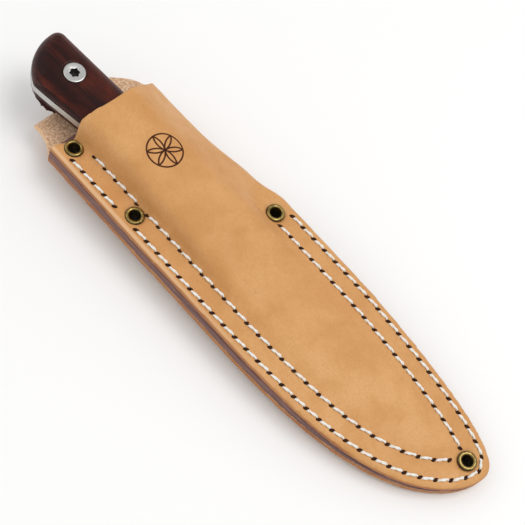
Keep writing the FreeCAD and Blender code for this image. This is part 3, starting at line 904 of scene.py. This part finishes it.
@dataclass
class PouchLeather:
    """The folded hide: front panel, fold, back panel, tongue and belt strap."""

    voxel: float = 0.5
    edge_rounds: int = 3
    crown_rounds: int = 110
    rim_depth: float = 3.0
    dip_depth: float = 0.5
    dip_radius: float = 0.75
    bevel_width: float = 1.5
    bevel_drop: float = 0.55
    outline: SheathOutline = field(default_factory=SheathOutline)

    def crown_weight(self, co: np.ndarray) -> np.ndarray:
        """Where the hide is formed round the knife and has no sharp creases."""
        x, y, z = co.T
        inside = ramp(self.outline.distance(co), 3.5, 7.0)
        fold = ramp(-x, -self.outline.fold_end_x - 4.0, -self.outline.fold_end_x + 6.0)
        fold *= ramp(y, 6.0, 12.0)
        front = ramp(z - self.outline.flange(x), -0.6, 0.6)
        away = ramp(x, self.outline.mouth_x + self.rim_depth, self.outline.mouth_x + 6.0)
        return np.maximum(inside * front, fold) * away

    def formed(self, co: np.ndarray, pairs: np.ndarray) -> np.ndarray:
        """The hide's vertices with the crown and the fold smoothed.

        Args:
            co: Vertex places.
            pairs: Edges.

        Returns:
            The new places. The mouth's rim follows the leather just inside it.
        """
        co = relaxed(co, pairs, np.ones(len(co)), self.edge_rounds)
        soft = relaxed(co, pairs, self.crown_weight(co), self.crown_rounds)
        change = soft - co
        mouth = self.outline.mouth_x
        reach = ramp(-co[:, 0], -mouth - 7.0, -mouth - self.rim_depth)
        rim = np.nonzero((co[:, 0] < mouth + 7.0) & (co[:, 0] > mouth - 1.0) & (co[:, 2] > 3.2))[0]
        inner = np.nonzero((co[:, 0] > mouth + 7.0) & (co[:, 0] < mouth + 9.0))[0]
        tree = KDTree(len(inner))
        for i in inner:
            tree.insert(Vector((0.0, co[i, 1], co[i, 2])), int(i))
        tree.balance()
        for i in rim:
            near = tree.find_n(Vector((0.0, co[i, 1], co[i, 2])), 6)
            mean = np.mean([change[j] for _, j, _ in near], axis=0)
            change[i] += (mean - change[i]) * reach[i]
        return co + change

    def bevelled(self, co: np.ndarray) -> np.ndarray:
        """The hide with the front panel's cut edge taken down by an edger."""
        near = 1.0 - ramp(self.outline.distance(co), 0.0, self.bevel_width)
        upper = ramp(co[:, 2] - self.outline.flange(co[:, 0]), 0.8, 2.2)
        co = co.copy()
        co[:, 2] -= near * upper * self.bevel_drop
        return co

    def dip(self, piece: bpy.types.Object, holes: list[Stitch]) -> None:
        """Press the hide in round each awl hole."""
        co = moved(coordinates(piece.data), SHEATH_TO_PART.inverted())
        normal = normals(piece.data) @ np.array(SHEATH_TO_PART.to_quaternion().to_matrix())
        tree = KDTree(len(co))
        for i, place in enumerate(co):
            tree.insert(Vector(place), i)
        tree.balance()
        for hole in holes:
            for _, i, gap in tree.find_range(Vector(hole.middle), 3.0 * self.dip_radius):
                if normal[i] @ hole.outwards > 0.5:
                    share = math.exp(-((gap / self.dip_radius) ** 2))
                    co[i] -= hole.outwards * self.dip_depth * share
        reshape(piece, moved(co, SHEATH_TO_PART))

    def flesh(self, co: np.ndarray, normal: np.ndarray) -> np.ndarray:
        """1 on the flesh side of the hide, 0 on the grain side."""
        x, z = co[:, 0], co[:, 2]
        beyond = x < self.outline.mouth_x + 0.3
        tongue = beyond & (normal[:, 2] > 0.2) & (z > 1.2)
        bend = (x < -86.5) & (normal[:, 0] < -0.3)
        strap = (z < -0.6) & (normal[:, 2] < -0.25)
        floor = (z > 1.4) & (z < 4.0) & (normal[:, 2] > 0.6)
        roof = (z > 3.5) & (normal[:, 2] < -0.3)
        return (tongue | bend | strap | floor | roof).astype(float)

    def edge(self, co: np.ndarray, normal: np.ndarray) -> np.ndarray:
        """1 on the hide's cut and burnished edges."""
        level = np.abs(normal[:, 2])
        sewn = (1.0 - ramp(self.outline.distance(co), 0.7, 1.2)) * (1.0 - ramp(level, 0.55, 0.9))
        sewn *= (co[:, 0] > self.outline.mouth_x).astype(float)
        return np.clip(sewn, 0.0, 1.0)

    def pale_edge(self, co: np.ndarray, normal: np.ndarray) -> np.ndarray:
        """1 on edges that were cut but not dyed: tongue, strap and edged strip."""
        x, y, z = co.T
        level = np.abs(normal[:, 2])
        loose = ((x < self.outline.mouth_x) | (z < -0.4)) & (np.abs(normal[:, 1]) > 0.45)
        loose |= (z < -0.6) & (normal[:, 0] > 0.5) & (x > -20.0)
        gap = self.outline.distance(co)
        strip = ramp(gap, 0.1, 0.5) * (1.0 - ramp(gap, 1.1, 1.6))
        strip *= (z > self.outline.flange(x) + 1.0) * (1.0 - ramp(x, -40.0, 70.0)) * (y < 0.0)
        strip *= ramp(level, 0.5, 0.8) * 0.8
        return np.maximum(loose * (1.0 - ramp(level, 0.6, 0.9)), strip)

    def build(self) -> bpy.types.Object:
        """Make the hide and return it."""
        piece = remeshed("folded_pouch_leather", "folded_leather_body", self.voxel)
        to_sheath = SHEATH_TO_PART.inverted()
        co = self.formed(moved(coordinates(piece.data), to_sheath), edge_pairs(piece.data))
        reshape(piece, moved(co, SHEATH_TO_PART))
        turn = np.array(SHEATH_TO_PART.to_quaternion().to_matrix())
        normal = normals(piece.data) @ turn
        store(piece, "flesh", self.flesh(co, normal))
        store(piece, "edge", self.edge(co, normal))
        store(piece, "bevel", self.pale_edge(co, normal))
        reshape(piece, moved(self.bevelled(co), SHEATH_TO_PART))
        dress(piece, HideFinish().material(), Body.SHEATH, ["folded_leather_body"])
        return piece


@dataclass
class Welt:
    """The dyed strip between the panels."""

    voxel: float = 0.5
    rounds: int = 2

    def build(self) -> None:
        """Make the strip with its corners a little worn."""
        piece = remeshed("dyed_welt_strip", "welt", self.voxel)
        co = coordinates(piece.data)
        reshape(piece, relaxed(co, edge_pairs(piece.data), np.ones(len(co)), self.rounds))
        dress(piece, WeltFinish().material(), Body.SHEATH, ["welt"])


@dataclass
class BurnedRosette:
    """A plain six-petalled rosette burned into the front panel."""

    x: float = -46.0
    y: float = -1.7
    radius: float = 6.4
    height: float = 25.0
    width: float = 0.6
    proud: float = 0.03
    depth: float = 0.3
    steps: int = 40

    def lines(self) -> list[np.ndarray]:
        """The rosette's circle and its six arcs, as rows of x and y."""
        angles = np.linspace(0.0, 2 * math.pi, 2 * self.steps)
        found = [self.radius * np.stack([np.cos(angles), np.sin(angles)], axis=1)]
        for i in range(6):
            towards = math.pi / 3 * i
            centre = self.radius * np.array([math.cos(towards), math.sin(towards)])
            sweep = towards + math.pi + np.linspace(-math.pi / 3, math.pi / 3, self.steps)
            arc = centre + self.radius * np.stack([np.cos(sweep), np.sin(sweep)], axis=1)
            found.append(arc)
        return found

    def strip(self, line: np.ndarray, skin: Skin) -> Mesh:
        """A line laid on the leather, as a thin bar sunk into it."""
        run = np.gradient(line, axis=0)
        run /= np.hypot(run[:, 0], run[:, 1])[:, None]
        side = np.stack([-run[:, 1], run[:, 0]], axis=1) * self.width / 2
        rings = []
        for point, half in zip(line, side):
            corners = []
            for sign in (-1.0, 1.0):
                x, y = np.array([self.x, self.y]) + point + sign * half
                corners.append(skin.under(np.array([x, y, self.height]), np.array([0.0, 0.0, 1.0])))
            (ax, ay, az), (bx, by, bz) = corners
            low_a, low_b = az - self.depth, bz - self.depth
            high_a, high_b = az + self.proud, bz + self.proud
            rings.append([(ax, ay, high_a), (bx, by, high_b), (bx, by, low_b), (ax, ay, low_a)])
        return tube(np.array(rings))

    def build(self, skin: Skin) -> None:
        """Make the rosette on the finished leather."""
        piece = new_object("burned_rosette", joined([self.strip(a, skin) for a in self.lines()]))
        finish = HoleFinish("burned_line", (0.05, 0.014, 0.006), (0.11, 0.035, 0.014))
        dress(piece, finish.material(), Body.SHEATH)


@dataclass
class Eyelets:
    """The brass eyelets and the washers that they are rolled over."""

    places: tuple[tuple[str, float, float, float], ...] = (
        ("mouth", -69.8, -20.6, 10.0),
        ("belly", -37.1, -20.9, 10.0),
        ("fold", -7.9, 20.0, 10.0),
        ("tip", 99.9, 9.8, 6.83),
    )
    hole: float = 2.0
    barrel: float = 2.5
    flange: float = 3.5
    washer: float = 3.8

    def eyelet(self, x: float, y: float, top: float) -> tuple[Mesh, np.ndarray]:
        """One eyelet and how black each of its vertices is.

        Args:
            x: Its place.
            y: Its place.
            top: Height of the leather under its flange.

        Returns:
            The mesh and the patina values.
        """
        section = (
            (self.hole, 1.0 - top, 0.9),
            (self.hole, -0.9, 0.8),
            (self.hole + 0.02, -0.1, 0.55),
            (self.hole + 0.1, 0.3, 0.2),
            (self.hole + 0.28, 0.56, 0.0),
            (self.hole + 0.55, 0.68, 0.0),
            (self.flange - 0.62, 0.7, 0.0),
            (self.flange - 0.38, 0.6, 0.05),
            (self.flange - 0.2, 0.44, 0.45),
            (self.flange - 0.06, 0.24, 0.95),
            (self.flange, 0.08, 1.0),
            (self.flange - 0.02, -0.04, 1.0),
            (self.barrel + 0.1, -0.05, 1.0),
            (self.barrel, -0.2, 1.0),
            (self.barrel, -top - 0.5, 0.6),
            (self.barrel + 0.6, -top - 0.52, 0.5),
            (self.barrel + 0.7, -top - 0.7, 0.2),
            (self.barrel + 0.4, -top - 0.88, 0.0),
            (self.barrel + 0.05, -top - 0.9, 0.0),
            (self.hole + 0.15, -top - 0.75, 0.2),
            (self.hole, -top - 0.4, 0.6),
        )
        profile = [(radius, top + height) for radius, height, _ in section]
        mesh = lathe(profile, x, y)
        black = np.tile([patina for _, _, patina in section], len(mesh[0]) // len(section))
        return mesh, black

    def washers(self) -> Mesh:
        """The four washers, with softened rims."""
        profile = (
            (self.barrel + 0.02, -0.02),
            (self.washer - 0.15, -0.02),
            (self.washer, -0.14),
            (self.washer - 0.02, -0.36),
            (self.washer - 0.2, -0.5),
            (self.barrel + 0.02, -0.5),
        )
        return joined([lathe(profile, x, y) for _, x, y, _ in self.places])

    def build(self) -> None:
        """Make the eyelets and their washers."""
        brass = BrassFinish().material()
        for name, x, y, top in self.places:
            mesh, black = self.eyelet(x, y, top)
            piece = new_object(name + "_brass_eyelet", mesh)
            store(piece, "patina", black)
            dress(piece, brass, Body.SHEATH, [name + "_eyelet"])
        mesh = self.washers()
        piece = new_object("back_brass_washers", mesh)
        store(piece, "patina", np.full(len(mesh[0]), 0.25))
        dress(piece, brass, Body.SHEATH, ["eyelet_washers"])


# Knife


@dataclass
class Handle:
    """The two wooden scales, rounded and polished."""

    voxel: float = 0.45
    rounds: int = 10
    centre: Point = (-58.0, -4.0)
    tang_half: float = 1.6
    thickness: float = 7.0
    rounding: float = 7.8
    bolts: tuple[Point, ...] = ((-89.1, -6.2), (-54.0, -3.2), (-21.0, -3.2))
    bolt_clear: float = 5.0

    def outline(self, co: np.ndarray) -> np.ndarray:
        """The scale's outline against the tang, counter-clockwise and closed."""
        flat = co[np.abs(np.abs(co[:, 2]) - self.tang_half) < 0.02][:, :2]
        for x, y in self.bolts:
            flat = flat[np.hypot(flat[:, 0] - x, flat[:, 1] - y) > self.bolt_clear]
        angle = np.arctan2(flat[:, 1] - self.centre[1], flat[:, 0] - self.centre[0])
        ring = flat[np.argsort(angle)]
        step = np.linalg.norm(np.roll(ring, -1, axis=0) - ring, axis=1)
        ring = ring[step > 0.01]
        return np.concatenate([ring, ring[:1]])

    def rounded(self, co: np.ndarray, outline: np.ndarray) -> np.ndarray:
        """The scale with its rim taken down to a quarter of an ellipse."""
        gap, inwards = nearest(outline, co)
        height = (np.abs(co[:, 2]) - self.tang_half) / self.thickness
        reach = np.maximum(self.rounding - gap, 0.0)
        excess = np.maximum(np.hypot(reach / self.rounding, height), 1.0)
        excess[reach == 0.0] = 1.0
        co = co.copy()
        co[:, :2] += inwards * (reach - reach / excess)[:, None]
        new_height = self.tang_half + self.thickness * np.maximum(height, 0.0) / excess
        lifted = height > 0.0
        co[lifted, 2] = np.sign(co[lifted, 2]) * new_height[lifted]
        return co

    def build(self) -> None:
        """Make both scales."""
        to_knife = KNIFE_TO_PART.inverted()
        wood = WoodFinish().material()
        outline = self.outline(moved(coordinates(frame["nodes"]["front_scale"].data), to_knife))
        for name, node in (("front_wood_scale", "front_scale"), ("back_wood_scale", "back_scale")):
            piece = remeshed(name, node, self.voxel)
            co = self.rounded(moved(coordinates(piece.data), to_knife), outline)
            co = relaxed(co, edge_pairs(piece.data), np.ones(len(co)), self.rounds)
            reshape(piece, moved(co, KNIFE_TO_PART))
            dress(piece, wood, Body.KNIFE, [node])


@dataclass
class HandleBolts:
    """Flanged screws on the front and barrel nuts on the back."""

    places: tuple[Point, ...] = ((-89.1, -6.2), (-54.0, -3.2), (-21.0, -3.2))
    full_half: float = 8.6
    front_half: float = 6.2
    thin_x: float = -45.0
    front_x: float = -12.0
    head: float = 4.0
    head_t: float = 1.4
    socket: float = 1.75
    socket_depth: float = 2.2
    screw: float = 2.0
    barrel: float = 3.0
    barrel_top: float = 3.0
    steps: int = 72
    # How many rings of each turned solid, from the socket's floor up, get painted shade.
    shaded_socket_rings: int = 4

    def top(self, x: float) -> float:
        """Height of the scale's flat face at a bolt."""
        share = min(1.0, max(0.0, (x - self.thin_x) / (self.front_x - self.thin_x)))
        return self.full_half + (self.front_half - self.full_half) * share

    def turned(self, x: float, y: float, section: Sequence[tuple[float, float, float]]) -> Mesh:
        """A closed turned solid whose socket can have six lobes.

        Args:
            x: The axis's place.
            y: The axis's place.
            section: Radius, height and depth of the lobes, from the socket's
                floor out over the head and down to the shank's end.

        Returns:
            The mesh.
        """
        angles = np.arange(self.steps) * 2 * math.pi / self.steps
        rings = []
        for radius, height, lobes in section:
            r = radius + lobes * np.cos(6 * angles)
            ring = [x + r * np.cos(angles), y + r * np.sin(angles), np.full(self.steps, height)]
            rings.append(np.stack(ring, axis=1))
        return tube(np.array(rings))

    def screw_mesh(self, x: float, y: float) -> Mesh:
        """One screw: shank, dished head and six-lobed socket."""
        top = self.top(x)
        floor = top - self.socket_depth
        section = (
            (0.25, floor - 0.15, 0.0),
            (self.socket - 0.35, floor, 0.2),
            (self.socket - 0.16, top - 0.5, 0.2),
            (self.socket - 0.04, top - 0.24, 0.19),
            (self.socket + 0.02, top - 0.2, 0.17),
            (self.socket + 0.3, top - 0.16, 0.04),
            (self.head - 1.3, top - 0.08, 0.0),
            (self.head - 0.5, top + 0.0, 0.0),
            (self.head - 0.22, top - 0.02, 0.0),
            (self.head - 0.05, top - 0.16, 0.0),
            (self.head - 0.02, top - 0.4, 0.0),
            (self.head - 0.02, top - self.head_t, 0.0),
            (self.screw, top - self.head_t - 0.02, 0.0),
            (self.screw, -2.6, 0.0),
            (self.screw - 0.4, -3.0, 0.0),
        )
        return self.turned(x, y, section)

    def nut_mesh(self, x: float, y: float) -> Mesh:
        """One barrel nut: shank, and a dished head with a small socket."""
        low = -self.top(x)
        section = (
            (0.25, low + 0.9, 0.0),
            (self.socket - 0.35, low + 0.85, 0.2),
            (self.socket - 0.16, low + 0.5, 0.2),
            (self.socket - 0.04, low + 0.24, 0.19),
            (self.socket + 0.02, low + 0.2, 0.17),
            (self.socket + 0.3, low + 0.16, 0.04),
            (self.head - 0.5, low, 0.0),
            (self.head - 0.05, low + 0.16, 0.0),
            (self.head - 0.02, low + self.head_t, 0.0),
            (self.barrel, low + self.head_t + 0.02, 0.0),
            (self.barrel, self.barrel_top - 0.2, 0.0),
            (self.barrel - 0.3, self.barrel_top, 0.0),
        )
        return self.turned(x, y, section)

    def socket_shade(self, points: np.ndarray) -> np.ndarray:
        """Painted shade: 1 in the sockets, which are made near black, and 0 on the dished rings round
        them.
        """
        rings = np.arange(len(points)) % (len(points) // len(self.places)) // self.steps
        return (rings < self.shaded_socket_rings).astype(float)

    def build(self) -> None:
        """Make the screws and the nuts."""
        turned = SteelFinish(
            "turned_stainless", (0.72, 0.71, 0.69), (0.42, 0.42, 0.41), 0.22, (1.0, 1.0, 0.1)
        ).material()
        for name, node, shape in (
            ("handle_bolt_screws", "handle_screws", self.screw_mesh),
            ("handle_bolt_nuts", "handle_barrel_nuts", self.nut_mesh),
        ):
            mesh = joined([shape(x, y) for x, y in self.places])
            piece = new_object(name, mesh, KNIFE_TO_PART)
            # Painted shade in each socket.
            store(piece, "socket_shade", self.socket_shade(mesh[0]))
            dress(piece, turned, Body.KNIFE, [node])


@dataclass
class Blade:
    """Blade and tang, ground with lines along the knife."""

    node: str = "blade_and_tang"

    def build(self) -> None:
        """Dress the CAD blade in ground steel."""
        steel = SteelFinish(
            "satin_blade_steel", (0.68, 0.66, 0.62), (0.4, 0.39, 0.37), 0.3, (0.05, 1.0, 1.0)
        ).material()
        piece = frame["nodes"][self.node]
        piece.data.materials.clear()
        piece.data.materials.append(steel)
        LOG.info("%s: dressed on %s", self.node, Body.KNIFE.value)


# Studio


@dataclass
class Studio:
    """Pale floor, soft light and the camera."""

    place: tuple[float, float, float] = (0.09361, -0.18650, 0.38546)
    right: tuple[float, float, float] = (0.68051, 0.70624, 0.19525)
    up: tuple[float, float, float] = (-0.70143, 0.55082, 0.45232)
    lens: float = 84.22
    sensor: float = 36.0
    floor_size: float = 6.0
    floor_colour: Colour = (0.93, 0.93, 0.93)
    world: float = 0.72

    def camera(self) -> None:
        """Stand the camera above the sheath, looking down its length."""
        data = bpy.data.cameras.new("view")
        data.lens = self.lens
        data.sensor_width = self.sensor
        data.clip_start = 0.01
        data.clip_end = 20.0
        made = bpy.data.objects.new("view", data)
        right, up = Vector(self.right), Vector(self.up)
        turn = Matrix((right, up, right.cross(up))).transposed().to_4x4()
        made.matrix_world = Matrix.Translation(Vector(self.place)) @ turn
        bpy.context.scene.collection.objects.link(made)
        bpy.context.scene.camera = made

    def softbox(self, name: str, place: Vector, size: float, power: float, tint: Colour) -> None:
        """A square lamp that faces the middle of the object."""
        data = bpy.data.lights.new(name, "AREA")
        data.size = size
        data.energy = power
        data.color = tint
        made = bpy.data.objects.new(name, data)
        made.location = place
        made.rotation_mode = "QUATERNION"
        made.rotation_quaternion = (-place).to_track_quat("-Z", "Y")
        bpy.context.scene.collection.objects.link(made)

    def lights(self) -> None:
        """A key light from the upper right, a fill light from the upper left and an even sky."""
        right, up = Vector(self.right), Vector(self.up)
        back = right.cross(up)
        self.softbox("key", 0.55 * right + 0.35 * up + 0.75 * back, 0.55, 3.4, (1.0, 0.99, 0.97))
        self.softbox("fill", -0.6 * right + 0.5 * up + 0.6 * back, 0.8, 1.0, (0.98, 0.99, 1.0))
        world = bpy.data.worlds.new("pale_room")
        world.use_nodes = True
        sky = world.node_tree.nodes["Background"]
        sky.inputs["Color"].default_value = (1.0, 1.0, 1.0, 1.0)
        sky.inputs["Strength"].default_value = self.world
        bpy.context.scene.world = world
        bpy.context.scene.view_settings.view_transform = "Standard"

    def floor(self) -> None:
        """A wide pale sheet under the object, curved up at its rim."""
        rings, sides = 6, 48
        build = bmesh.new()
        centre = build.verts.new((0.0, 0.0, 0.0))
        before = None
        for i in range(1, rings + 1):
            radius = self.floor_size / 2 * i / rings
            height = 0.06 * self.floor_size * max(0.0, i - rings + 2) ** 2 / 4
            loop = []
            for j in range(sides):
                angle = 2 * math.pi * j / sides
                place = (radius * math.cos(angle), radius * math.sin(angle), height)
                loop.append(build.verts.new(place))
            for j in range(sides):
                k = (j + 1) % sides
                if before is None:
                    build.faces.new((centre, loop[j], loop[k]))
                else:
                    build.faces.new((before[j], loop[j], loop[k], before[k]))
            before = loop
        data = bpy.data.meshes.new("studio_floor")
        build.to_mesh(data)
        build.free()
        s = Shading("matt_pale_paper")
        tone = s.blend(s.noise(3.0, 2.0), self.floor_colour, (0.95, 0.95, 0.95))
        data.materials.append(s.finish(Base_Color=tone, Roughness=0.9, Specular_IOR_Level=0.1))
        made = bpy.data.objects.new("studio_floor", data)
        bpy.context.scene.collection.objects.link(made)

    def build(self) -> None:
        """Set up the whole studio."""
        self.camera()
        self.lights()
        self.floor()


def main() -> None:
    """Build the studio, the sheath and the knife."""
    logging.basicConfig(level=logging.INFO, format="%(name)s %(message)s")
    Studio().build()
    pouch = PouchLeather()
    hide = pouch.build()
    skin = Skin.of(hide)
    pouch.dip(hide, Sewing(skin).build())
    Welt().build()
    BurnedRosette().build(skin)
    Eyelets().build()
    Handle().build()
    HandleBolts().build()
    Blade().build()


if __name__ == "__main__":
    main()
